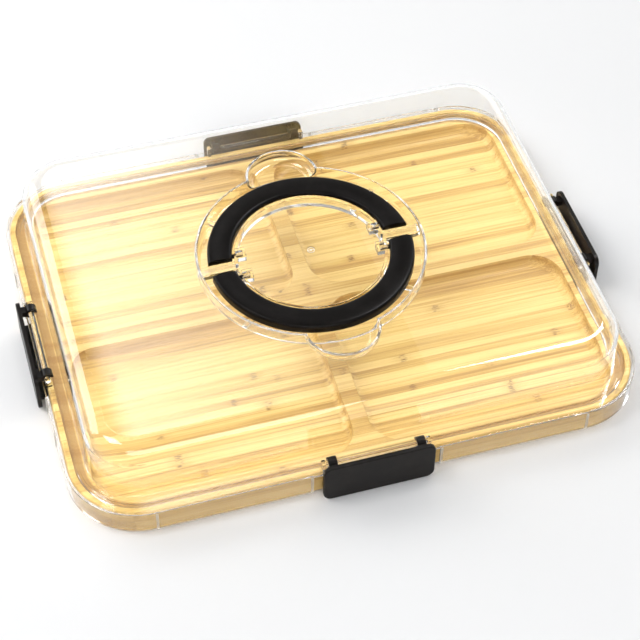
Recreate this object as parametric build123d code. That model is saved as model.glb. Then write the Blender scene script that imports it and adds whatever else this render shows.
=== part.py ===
"""Chip and dip server: a divided bamboo board, a clear domed lid held by four
side clips, and two half-ring handles that fold flat into the lid's top.

Millimetres. The origin is the centre of the footprint on the surface that the
server stands on. +X is the long way, +Y is to the back and +Z is up.
"""
from build123d import *
import math
import os

os.makedirs("parts", exist_ok=True)

# ---------------------------------------------------------------- lid outline
lid_length = 400.0          # over the skirt, along X
lid_width = 318.0           # over the skirt, along Y
lid_corner_radius = 50.0
lid_wall = 2.0              # wall of the whole clear moulding
skirt_gap = 0.8             # skirt's inside to the board's side
skirt_drop = 15.0           # how far the skirt hangs below the board's top

# ---------------------------------------------------------------------- board
board_thickness = 19.0
board_edge_round = 1.5
foot_radius = 8.0
foot_stand = 2.0            # how far a foot stands proud of the board
foot_recess = 1.5
foot_fit = 0.1
foot_inset = 45.0           # foot's centre from the lid's outline

# ------------------------------------------------------- channel and lid's rib
channel_inset = 6.9         # channel's outer edge from the lid's outline
channel_width = 4.5
channel_depth = 4.0
rib_end_gap = 0.8           # rib's foot to the channel's floor
seat_gap = 0.1              # flange's underside to the board's top

# --------------------------------------------------------------- compartments
compartment_inset = 18.0    # outer edges from the lid's outline
divider_width = 12.4
compartment_corner = 22.0
compartment_depth = 13.0
compartment_floor_round = 6.0
compartment_lip_round = 1.0

# ----------------------------------------------------------------- lid's dome
flange_thickness = 2.3
dome_inset = 13.8           # dome's foot from the lid's outline
dome_height = 44.1          # flange's top to the dome's top
dome_draft = 3.0            # degrees
shoulder_round = 15.0

# ------------------------------------------------- handle well in the lid's top
handle_inner_radius = 55.3
handle_width = 17.2
disc_gap = 1.6              # centre disc's edge to the handle
finger_gap = 6.5            # handle to the well's outer wall
disc_drop = 3.0             # centre disc below the dome's top
well_depth = 11.0           # well's floor below the dome's top
well_floor_round = 1.6
well_rim_round = 1.2
bridge_width = 8.0          # strips that join the centre disc to the rim
scoop_radius = 24.5         # finger scoops in the well's outer wall
scoop_set_in = 4.0          # scoop's centre inside the well's outer wall
scoop_depth = 9.5
scoop_floor_round = 6.0
rest_rib_width = 3.0        # ribs on the well's floor that the handles lie on
rest_rib_angle = 40.0       # degrees from the X axis
gate_radius = 3.0           # moulding gate's dimple
gate_depth = 0.4

# --------------------------------------------------------------------- handles
handle_thickness = 7.0
handle_top_drop = 1.0       # handle's top below the dome's top
handle_wall = 2.2
handle_edge_round = 2.0
handle_end_gap = 2.3        # handle's end to the bridge
handle_rest_gap = 0.2       # handle's underside to the rest ribs
handle_rib_thickness = 1.6  # cross ribs inside a handle
handle_rib_angles = (50.0, 90.0, 130.0)
pivot_radius = 1.6
pivot_clearance = 0.05
pivot_heel = 4.0            # pivot's axis from the handle's end
pivot_height = 3.0          # pivot's axis above the handle's underside
pivot_reach = 7.3           # pin's length inside the handle's inner face
pocket_wall = 2.0           # wall of the snap pocket round a pin
pocket_mouth = 2.8          # pocket's open top, narrower than the pin
pocket_end_gap = 0.3
pocket_rise = 1.8           # pocket above the centre disc

# ----------------------------------------------------------------------- clips
clip_length = 77.0
clip_table_gap = 1.0        # clip's lower edge above the surface
clip_thickness = 3.0
clip_corner = 6.0
clip_edge_round = 0.9
clip_stand_off = 2.6        # lid's outline to the clip's inner face
clip_top_rise = 5.5         # clip's top edge above its hinge's axis
hinge_inset = 4.0           # hinge's axis from the lid's outline
hinge_bar_radius = 2.0
hinge_clearance = 0.05
lug_wall = 2.15             # hook's wall round the bar
lug_flange_gap = 0.4
lug_width = 6.0
lug_centre = 30.5           # lug's middle from the clip's middle
lug_arm_height = 4.2
lug_arm_rise = 2.2          # arm's upper face above the hinge's axis
lug_mouth = 3.0             # hook's open side, narrower than the bar
post_width = 2.5            # posts that carry the bar's ends
post_gap = 1.5              # lug's side to the post
post_depth = 4.4
notch_margin = 5.5          # skirt's notch past each end of the clip
catch_gap = 0.3             # catch's tip to the board's side, clip hanging free
catch_height = 2.4
catch_length = 68.0
catch_slot_depth = 4.6
catch_slot_height = 5.4
catch_slot_margin = 3.0     # slot past each end of the catch
catch_level = 6.6           # catch's middle above the board's underside

# ------------------------------------------------------- small ribs on the skirt
skirt_rib_width = 1.6
skirt_rib_proud = 0.6
skirt_rib_end = 51.0        # outer ribs from each end of a long side
side_rib_centre = 75.0      # ribs on the short sides from their middle

# --------------------------------------------------------------- derived levels
board_inset = lid_wall + skirt_gap
board_low = foot_stand
board_top = board_low + board_thickness
flange_low = board_top + seat_gap
flange_top = flange_low + flange_thickness
dome_top = flange_top + dome_height
skirt_low = board_top - skirt_drop
disc_top = dome_top - disc_drop
well_floor = dome_top - well_depth
scoop_floor = dome_top - scoop_depth
handle_outer_radius = handle_inner_radius + handle_width
disc_radius = handle_inner_radius - disc_gap
well_radius = handle_outer_radius + finger_gap
scoop_centre = well_radius - scoop_set_in
handle_top = dome_top - handle_top_drop
handle_low = handle_top - handle_thickness
handle_end = bridge_width / 2 + handle_end_gap
pivot_y = handle_end + pivot_heel
pivot_z = handle_low + pivot_height
pin_tip = math.sqrt(handle_inner_radius**2 - pivot_y**2) - pivot_reach
lug_radius = hinge_bar_radius + hinge_clearance + lug_wall
hinge_z = flange_top + lug_flange_gap + lug_radius
clip_height = hinge_z + clip_top_rise - clip_table_gap
post_centre = lug_centre + lug_width / 2 + post_gap + post_width / 2
catch_z = board_low + catch_level

# side: name, turn about Z in degrees, lid's outline from the centre
SIDES = (
    ("front", 0.0, lid_width / 2),
    ("right", 90.0, lid_length / 2),
    ("rear", 180.0, lid_width / 2),
    ("left", 270.0, lid_length / 2),
)


def span(x_low, x_high, y_low, y_high, z_low, z_high):
    """Box between two corners."""
    size = (x_high - x_low, y_high - y_low, z_high - z_low)
    middle = ((x_low + x_high) / 2, (y_low + y_high) / 2, (z_low + z_high) / 2)
    return Pos(*middle) * Box(*size)


def post_of(radius, z_low, z_high, x=0.0, y=0.0):
    """Upright cylinder between two levels."""
    return Pos(x, y, (z_low + z_high) / 2) * Cylinder(radius, z_high - z_low)


def slab(inset, z_low, z_high):
    """The lid's outline, moved in by an inset, between two levels."""
    outline = RectangleRounded(
        lid_length - 2 * inset, lid_width - 2 * inset, lid_corner_radius - inset
    )
    return extrude(Pos(0, 0, z_low) * outline, amount=z_high - z_low)


def band(outer_inset, inner_inset, z_low, z_high):
    """Ring that follows the lid's outline between two insets."""
    return slab(outer_inset, z_low, z_high) - slab(inner_inset, z_low, z_high)


def level_edges(shape, level, x_reach, y_reach):
    """Edges at one level that lie wholly within a reach of the centre."""

    def near(edge):
        box = edge.bounding_box()
        x_far = max(abs(box.min.X), abs(box.max.X))
        y_far = max(abs(box.min.Y), abs(box.max.Y))
        return x_far < x_reach and y_far < y_reach

    edges = shape.edges().filter_by_position(Axis.Z, level - 0.01, level + 0.01)
    return edges.filter_by(near)


def lowest(shape):
    """Edges round a shape's lowest face."""
    return shape.faces().sort_by(Axis.Z)[0].edges()


def highest(shape):
    """Edges round a shape's highest face."""
    return shape.faces().sort_by(Axis.Z)[-1].edges()


# ---------------------------------------------------------------------- board
def compartment(x_sign, y_sign):
    """One food compartment's space, with a rounded floor."""
    x_far = lid_length / 2 - compartment_inset
    y_far = lid_width / 2 - compartment_inset
    near = divider_width / 2
    outline = RectangleRounded(x_far - near, y_far - near, compartment_corner)
    middle = Pos(
        x_sign * (x_far + near) / 2,
        y_sign * (y_far + near) / 2,
        board_top - compartment_depth,
    )
    space = extrude(middle * outline, amount=compartment_depth)
    return fillet(lowest(space), compartment_floor_round)


def catch_slot(half):
    """Slot in the board's front side that a clip's catch snaps into."""
    length = catch_length / 2 + catch_slot_margin
    side = -(half - board_inset)
    return span(
        -length, length, side - 1.0, side + catch_slot_depth,
        catch_z - catch_slot_height / 2, catch_z + catch_slot_height / 2,
    )


def foot_places():
    """Centre of each foot under the board, with its name."""
    x_far = lid_length / 2 - foot_inset
    y_far = lid_width / 2 - foot_inset
    for y_name, y_sign in (("front", -1), ("rear", 1)):
        for x_name, x_sign in (("left", -1), ("right", 1)):
            yield f"foot_{y_name}_{x_name}", x_sign * x_far, y_sign * y_far


def make_board():
    """Board with its compartments, lid channel, catch slots and foot recesses."""
    board = slab(board_inset, board_low, board_top)
    board = fillet(lowest(board) + highest(board), board_edge_round)
    board -= band(
        channel_inset, channel_inset + channel_width,
        board_top - channel_depth, board_top,
    )
    for x_sign in (-1, 1):
        for y_sign in (-1, 1):
            board -= compartment(x_sign, y_sign)
    reach = 1.0 - compartment_inset
    mouths = level_edges(board, board_top, lid_length / 2 + reach, lid_width / 2 + reach)
    board = fillet(mouths, compartment_lip_round)
    for _, turn, half in SIDES:
        board -= Rot(0, 0, turn) * catch_slot(half)
    for _, x, y in foot_places():
        board -= post_of(foot_radius + foot_fit, board_low, board_low + foot_recess, x, y)
    return board


def make_foot(x, y):
    """Soft foot set into the board's underside."""
    foot = post_of(foot_radius, 0.0, foot_stand + foot_recess, x, y)
    return fillet(lowest(foot), 0.6)


# ------------------------------------------------------------------------ lid
def dome(inset, z_low, z_high, shoulder):
    """Tapered block with a rounded shoulder, for the dome's outside or inside."""
    lean = math.tan(math.radians(dome_draft)) * (z_low - flange_low)
    outline = RectangleRounded(
        lid_length - 2 * (inset + lean),
        lid_width - 2 * (inset + lean),
        lid_corner_radius - inset - lean,
    )
    block = extrude(
        Pos(0, 0, z_low) * outline, amount=z_high - z_low, taper=dome_draft
    )
    return fillet(highest(block), shoulder)


def well(grow):
    """Space of the handle well and its scoops, grown by a wall's thickness."""
    top = dome_top + 1.0
    basin = post_of(well_radius + grow, disc_top - grow, top)
    groove = post_of(well_radius + grow, well_floor - grow, top)
    groove = fillet(lowest(groove), well_floor_round + grow)
    for y_sign in (-1, 1):
        scoop = post_of(
            scoop_radius + grow, scoop_floor - grow, top, 0, y_sign * scoop_centre
        )
        groove += fillet(lowest(scoop), scoop_floor_round + grow)
    groove -= post_of(disc_radius - grow, well_floor - grow, top)
    strip = bridge_width / 2 - grow
    reach = well_radius + grow + 1.0
    groove -= span(-reach, reach, -strip, strip, well_floor - grow, top)
    return basin + groove


def rest_ribs():
    """Ribs across the well's floor that the folded handles lie on."""
    ribs = []
    height = handle_low - handle_rest_gap
    for turn in (rest_rib_angle, 180 - rest_rib_angle, 180 + rest_rib_angle, -rest_rib_angle):
        rib = span(
            disc_radius - lid_wall / 2, well_radius + lid_wall / 2,
            -rest_rib_width / 2, rest_rib_width / 2, well_floor - lid_wall / 2, height,
        )
        ribs.append(Rot(0, 0, turn) * rib)
    return ribs


def pivot_pocket(x_sign, y_sign):
    """Snap pocket for one pivot pin: its body and the space to cut from it."""
    half = pivot_radius + pivot_clearance + pocket_wall
    inner = pin_tip - pocket_end_gap - pocket_wall
    outer = math.sqrt(disc_radius**2 - (pivot_y + half) ** 2)
    body = span(inner, outer, pivot_y - half, pivot_y + half, pivot_z - half, disc_top + pocket_rise)
    bore_start = pin_tip - pocket_end_gap
    bore_end = disc_radius + 1.0
    bore = Pos((bore_start + bore_end) / 2, pivot_y, pivot_z) * (
        Rot(0, 90, 0) * Cylinder(pivot_radius + pivot_clearance, bore_end - bore_start)
    )
    mouth = span(
        bore_start, bore_end, pivot_y - pocket_mouth / 2, pivot_y + pocket_mouth / 2,
        pivot_z, disc_top + pocket_rise + 1.0,
    )
    space = bore + mouth
    if x_sign < 0:
        body = mirror(body, about=Plane.YZ)
        space = mirror(space, about=Plane.YZ)
    if y_sign < 0:
        body = mirror(body, about=Plane.XZ)
        space = mirror(space, about=Plane.XZ)
    return body, space


def hinge_bar(half):
    """Bar and its two posts on the front flange, for one clip."""
    y = -(half - hinge_inset)
    end = post_centre + post_width / 2
    bar = Pos(0, y, hinge_z) * (Rot(0, 90, 0) * Cylinder(hinge_bar_radius, 2 * end))
    for sign in (-1, 1):
        middle = sign * post_centre
        bar += span(
            middle - post_width / 2, middle + post_width / 2,
            y - post_depth / 2, y + post_depth / 2,
            flange_top - flange_thickness / 2, hinge_z + hinge_bar_radius,
        )
    return bar


def skirt_notch(half):
    """Gap in the front skirt that the clip hangs in."""
    reach = clip_length / 2 + notch_margin
    return span(-reach, reach, -half - 2.0, -half + lid_wall + 0.4, skirt_low - 1.0, flange_low)


def skirt_rib(x, half):
    """Small upright rib on the front skirt."""
    return span(
        x - skirt_rib_width / 2, x + skirt_rib_width / 2,
        -half - skirt_rib_proud, -half + lid_wall / 2, skirt_low, flange_low,
    )


def rib_places(name):
    """Places of the skirt's ribs along one side."""
    beside_clip = clip_length / 2 + notch_margin + skirt_rib_width / 2
    outer = side_rib_centre
    if name in ("front", "rear"):
        outer = lid_length / 2 - skirt_rib_end
    return (-outer, -beside_clip, beside_clip, outer)


def make_lid():
    """Clear lid: dome, flange, skirt, channel rib, hinge bars and handle well."""
    flange = fillet(highest(slab(0, flange_low, flange_top)), flange_thickness / 2)
    body = flange + dome(dome_inset, flange_low, dome_top, shoulder_round)
    body -= well(0)
    reach = max(well_radius, scoop_centre + scoop_radius) + 2.0
    body = fillet(level_edges(body, dome_top, reach, reach), well_rim_round)
    hollow = dome(
        dome_inset + lid_wall, flange_low, dome_top - lid_wall, shoulder_round - lid_wall
    )
    body -= hollow - well(lid_wall)
    body += band(0, lid_wall, skirt_low, flange_low + flange_thickness / 2)
    rib_out = channel_inset + (channel_width - lid_wall) / 2
    body += band(
        rib_out, rib_out + lid_wall,
        board_top - channel_depth + rib_end_gap, flange_low + flange_thickness / 2,
    )
    for rib in rest_ribs():
        body += rib
    for name, turn, half in SIDES:
        body -= Rot(0, 0, turn) * skirt_notch(half)
        body += Rot(0, 0, turn) * hinge_bar(half)
        for x in rib_places(name):
            body += Rot(0, 0, turn) * skirt_rib(x, half)
    for x_sign in (-1, 1):
        for y_sign in (-1, 1):
            pocket, space = pivot_pocket(x_sign, y_sign)
            body = (body + pocket) - space
    body -= post_of(gate_radius, disc_top - gate_depth, disc_top + 1.0)
    return body


# -------------------------------------------------------------------- handles
def half_ring(inner, outer, end, z_low, z_high):
    """Half of a flat ring on the +Y side, cut straight at its two ends."""
    ring = post_of(outer, z_low, z_high) - post_of(inner, z_low, z_high)
    return ring & span(-outer - 1, outer + 1, end, outer + 1, z_low, z_high)


def make_rear_handle():
    """Half-ring handle, cored from below, with a stub pin at each end."""
    handle = half_ring(
        handle_inner_radius, handle_outer_radius, handle_end, handle_low, handle_top
    )
    handle = fillet(highest(handle), handle_edge_round)
    handle -= half_ring(
        handle_inner_radius + handle_wall, handle_outer_radius - handle_wall,
        handle_end + handle_wall, handle_low, handle_top - handle_wall,
    )
    for angle in handle_rib_angles:
        handle += Rot(0, 0, angle) * span(
            handle_inner_radius + handle_wall / 2, handle_outer_radius - handle_wall / 2,
            -handle_rib_thickness / 2, handle_rib_thickness / 2,
            handle_low, handle_top - handle_wall / 2,
        )
    root = math.sqrt(handle_inner_radius**2 - pivot_y**2) + handle_wall * 0.7
    for sign in (-1, 1):
        pin = Rot(0, 90, 0) * Cylinder(pivot_radius, root - pin_tip)
        handle += Pos(sign * (root + pin_tip) / 2, pivot_y, pivot_z) * pin
    return handle


# ---------------------------------------------------------------------- clips
def make_clip(half):
    """Front clip: plate, two hooks round the hinge bar and a catch ridge."""
    inner = -(half + clip_stand_off)
    axis_y = -(half - hinge_inset)
    middle = clip_table_gap + clip_height / 2
    face = Plane(origin=(0, inner, middle), x_dir=(1, 0, 0), z_dir=(0, -1, 0))
    outline = RectangleRounded(clip_length, clip_height, clip_corner)
    plate = extrude(face * outline, amount=clip_thickness)
    outer_face = plate.faces().sort_by(Axis.Y)[0]
    plate = fillet(outer_face.edges(), clip_edge_round)
    for sign in (-1, 1):
        plate += hook(sign * lug_centre, axis_y, inner)
    tip = -(half - board_inset) - catch_gap
    ridge = span(
        -catch_length / 2, catch_length / 2, inner - clip_thickness / 2, tip,
        catch_z - catch_height / 2, catch_z + catch_height / 2,
    )
    lead = ridge.edges().filter_by(Axis.X).sort_by(Axis.Y)[-2:].sort_by(Axis.Z)[0]
    return plate + chamfer(lead, catch_height / 2)


def hook(x, axis_y, inner):
    """Open hook that snaps over the hinge bar, with its arm to the plate."""
    x_low = x - lug_width / 2
    x_high = x + lug_width / 2
    turn = Rot(0, 90, 0)
    ring = Pos(x, axis_y, hinge_z) * (turn * Cylinder(lug_radius, lug_width))
    arm = span(
        x_low, x_high, inner - clip_thickness / 2, axis_y,
        hinge_z + lug_arm_rise - lug_arm_height, hinge_z + lug_arm_rise,
    )
    bore = Pos(x, axis_y, hinge_z) * (
        turn * Cylinder(hinge_bar_radius + hinge_clearance, lug_width + 1)
    )
    mouth = span(
        x_low - 0.5, x_high + 0.5, 0, lug_radius + 1.0, -lug_mouth / 2, lug_mouth / 2
    )
    mouth = Pos(0, axis_y, hinge_z) * (Rot(-45, 0, 0) * mouth)
    return ring + arm - bore - mouth


# -------------------------------------------------------------------- assembly
def main():
    """Build every piece and write one STEP file each."""
    export_step(make_board(), "parts/base_board.step")
    for name, x, y in foot_places():
        export_step(make_foot(x, y), f"parts/{name}.step")
    export_step(make_lid(), "parts/lid_shell.step")
    rear_handle = make_rear_handle()
    export_step(rear_handle, "parts/rear_handle.step")
    export_step(mirror(rear_handle, about=Plane.XZ), "parts/front_handle.step")
    for name, turn, half in SIDES:
        clip = Rot(0, 0, turn) * make_clip(half)
        export_step(clip, f"parts/{name}_clip.step")


main()
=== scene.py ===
"""Chip and dip server: finishes, detail pieces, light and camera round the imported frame.

A divided bamboo board under a clear domed lid. Four black side clips hold the
lid and two black half-ring handles fold flat into a well in its top.
Everything is in metres in the part's own frame: +X the long way, +Y to the
back and +Z up, with the origin on the table under the middle of the board.
"""

import logging
import math
from collections.abc import Callable
from dataclasses import dataclass
from enum import Enum
from functools import reduce
from itertools import product

import bmesh
import bpy
from mathutils import Matrix, Vector


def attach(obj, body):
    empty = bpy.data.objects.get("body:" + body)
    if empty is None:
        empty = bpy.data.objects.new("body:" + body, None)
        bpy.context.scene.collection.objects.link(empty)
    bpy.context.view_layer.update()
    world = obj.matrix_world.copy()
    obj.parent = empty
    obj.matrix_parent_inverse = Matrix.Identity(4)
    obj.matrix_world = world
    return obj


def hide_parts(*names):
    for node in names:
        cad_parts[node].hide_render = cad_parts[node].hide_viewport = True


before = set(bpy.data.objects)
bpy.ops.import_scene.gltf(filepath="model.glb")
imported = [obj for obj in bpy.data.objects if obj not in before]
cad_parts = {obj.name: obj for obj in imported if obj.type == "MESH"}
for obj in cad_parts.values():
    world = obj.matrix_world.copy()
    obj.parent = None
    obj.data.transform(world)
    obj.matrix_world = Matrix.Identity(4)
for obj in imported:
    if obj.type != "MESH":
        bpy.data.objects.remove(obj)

LOG = logging.getLogger("server")
MM = 0.001
SLACK = 0.01 * MM        # how near counts as level
DOUBLE = 0.002 * MM      # how near counts as the same point
Colour = tuple[float, float, float]
Place = tuple[float, float, float]
# side, turn about Z in degrees, and the lid's outline from the middle in mm
SIDES = (("front", 0.0, 159.0), ("right", 90.0, 200.0), ("rear", 180.0, 159.0), ("left", 270.0, 200.0))


class Slot(Enum):
    """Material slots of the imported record."""

    BAMBOO = "bamboo"
    CLEAR = "clear_plastic"
    BLACK = "black_plastic"
    RUBBER = "foot_rubber"


# -------- node graphs
class Graph:
    """A shader node tree being wired up."""

    def __init__(self, tree: bpy.types.NodeTree) -> None:
        """Start from a tree and leave it empty.

        Args:
            tree: The node tree of a material or of a node group.
        """
        self.tree = tree
        self.tree.nodes.clear()

    def add(self, kind: str, **settings: object) -> bpy.types.Node:
        """Add a node.

        Args:
            kind: The node's type without its ShaderNode prefix, or a full name.
            **settings: Properties to set on the node.

        Returns:
            The new node.
        """
        full = kind if kind.startswith("NodeGroup") else f"ShaderNode{kind}"
        node = self.tree.nodes.new(full)
        for key, value in settings.items():
            setattr(node, key, value)
        return node

    def feed(self, node: bpy.types.Node, **values: object) -> bpy.types.Node:
        """Set or link a node's inputs by their names, with _ for a space.

        Args:
            node: The node whose inputs are fed.
            **values: A number, a colour or an output socket for each input.

        Returns:
            The same node.
        """
        for key, value in values.items():
            self.plug(value, node.inputs[key.replace("_", " ")])
        return node

    def plug(self, value: object, socket: bpy.types.NodeSocket) -> None:
        """Link an output socket into an input, or set a plain value on it."""
        if isinstance(value, bpy.types.NodeSocket):
            self.tree.links.new(value, socket)
        else:
            socket.default_value = value

    def math(self, operation: str, *values: object) -> bpy.types.NodeSocket:
        """Combine numbers.

        Args:
            operation: A Math node operation.
            *values: Numbers or output sockets.

        Returns:
            The result's socket.
        """
        node = self.add("Math", operation=operation)
        for value, socket in zip(values, node.inputs):
            self.plug(value, socket)
        return node.outputs[0]

    def times(self, *values: object) -> bpy.types.NodeSocket:
        """Multiply numbers, one after another."""
        return reduce(lambda a, b: self.math("MULTIPLY", a, b), values)

    def total(self, *values: object) -> bpy.types.NodeSocket:
        """Add numbers up, one after another."""
        return reduce(lambda a, b: self.math("ADD", a, b), values)

    def split(self, vector: bpy.types.NodeSocket) -> bpy.types.Node:
        """Take coordinates apart into X, Y and Z outputs."""
        return self.feed(self.add("SeparateXYZ"), Vector=vector)

    def object_place(self) -> bpy.types.NodeSocket:
        """Read the piece's own coordinates, in metres."""
        return self.add("TexCoord").outputs["Object"]

    def blend(self, share: object, low: object, high: object) -> bpy.types.NodeSocket:
        """Mix two colours.

        Args:
            share: How much of the second colour shows.
            low: The first colour.
            high: The second colour.

        Returns:
            The mixed colour's socket.
        """
        node = self.add("Mix", data_type="RGBA")
        self.plug(share, node.inputs[0])
        self.plug(opaque(low), node.inputs[6])
        self.plug(opaque(high), node.inputs[7])
        return node.outputs[2]

    def step(self, value: object, low: float, high: float) -> bpy.types.NodeSocket:
        """Ease from 0 at one value to 1 at another.

        Args:
            value: The number that is read.
            low: Where the result is 0.
            high: Where the result is 1.

        Returns:
            The eased number's socket.
        """
        node = self.add("MapRange", interpolation_type="SMOOTHSTEP")
        self.plug(value, node.inputs["Value"])
        node.inputs["From Min"].default_value = low
        node.inputs["From Max"].default_value = high
        return node.outputs["Result"]

    def noise(
        self, vector: object, scale: object, detail: float = 2.0, roughness: float = 0.5
    ) -> bpy.types.NodeSocket:
        """Smooth noise between 0 and 1.

        Args:
            vector: Coordinates.
            scale: Cells per unit of the coordinates.
            detail: Number of finer layers.
            roughness: Strength of the finer layers.

        Returns:
            The noise value's socket.
        """
        node = self.add("TexNoise")
        self.feed(node, Vector=vector, Scale=scale, Detail=detail, Roughness=roughness)
        return node.outputs[0]

    def stretch(self, vector: object, scale: Place) -> bpy.types.NodeSocket:
        """Scale coordinates along each axis."""
        node = self.add("Mapping")
        self.feed(node, Vector=vector, Scale=scale)
        return node.outputs[0]


def opaque(colour: object) -> object:
    """Give a plain colour its alpha, and leave a socket as it is."""
    if isinstance(colour, tuple) and len(colour) == 3:
        return (*colour, 1.0)
    return colour


def new_group(
    name: str, inputs: dict[str, float], outputs: tuple[str, ...]
) -> tuple[Graph, bpy.types.Node, bpy.types.Node]:
    """Start a shader node group with number sockets.

    Args:
        name: The group's name.
        inputs: Each input's name with its default.
        outputs: The outputs' names.

    Returns:
        The group's graph, its input node and its output node.
    """
    group = bpy.data.node_groups.new(name, "ShaderNodeTree")
    for label, value in inputs.items():
        socket = group.interface.new_socket(label, in_out="INPUT", socket_type="NodeSocketFloat")
        socket.default_value = value
    for label in outputs:
        group.interface.new_socket(label, in_out="OUTPUT", socket_type="NodeSocketFloat")
    graph = Graph(group)
    return graph, graph.add("NodeGroupInput"), graph.add("NodeGroupOutput")


class SharedEffects:
    """Node groups that more than one finish uses."""

    def __init__(self) -> None:
        """Build each group once."""
        self.handling = self.make_handling()
        self.grain = self.make_grain()

    def make_handling(self) -> bpy.types.NodeTree:
        """Soft smudges and hair-fine scratches that change the gloss.

        Returns:
            The group, with Roughness and Marks outputs.
        """
        graph, given, result = new_group(
            "handling_marks",
            {"Roughness": 0.3, "Smudge": 0.1, "Scratch": 0.05},
            ("Roughness", "Marks"),
        )
        place = graph.object_place()
        patches = graph.noise(place, 34.0, 3.0, 0.55)
        smudge = graph.step(patches, 0.42, 0.72)
        lines = graph.noise(graph.stretch(place, (60.0, 900.0, 400.0)), 1.0, 2.0, 0.6)
        crossed = graph.noise(graph.stretch(place, (1100.0, 70.0, 500.0)), 1.0, 2.0, 0.6)
        scratch = graph.math("MAXIMUM", graph.step(lines, 0.66, 0.72), graph.step(crossed, 0.67, 0.73))
        worn = graph.times(scratch, graph.step(patches, 0.3, 0.6))
        marks = graph.total(
            graph.times(smudge, given.outputs["Smudge"]), graph.times(worn, given.outputs["Scratch"])
        )
        graph.feed(result, Roughness=graph.total(given.outputs["Roughness"], marks), Marks=marks)
        return graph.tree

    def make_grain(self) -> bpy.types.NodeTree:
        """Fine even grain of a moulded surface.

        Returns:
            The group, with Height and Mottle outputs.
        """
        graph, given, result = new_group(
            "moulded_grain", {"Size": 0.4, "Depth": 0.02}, ("Height", "Mottle")
        )
        place = graph.object_place()
        cells = graph.math("DIVIDE", 1000.0, given.outputs["Size"])
        fine = graph.noise(place, cells, 1.0, 0.6)
        pits = graph.feed(graph.add("TexVoronoi"), Vector=place, Scale=cells)
        height = graph.total(fine, graph.times(pits.outputs["Distance"], 0.5))
        depth = graph.times(given.outputs["Depth"], MM)
        graph.feed(result, Height=graph.times(height, depth), Mottle=graph.noise(place, 120.0, 3.0, 0.6))
        return graph.tree


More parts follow.
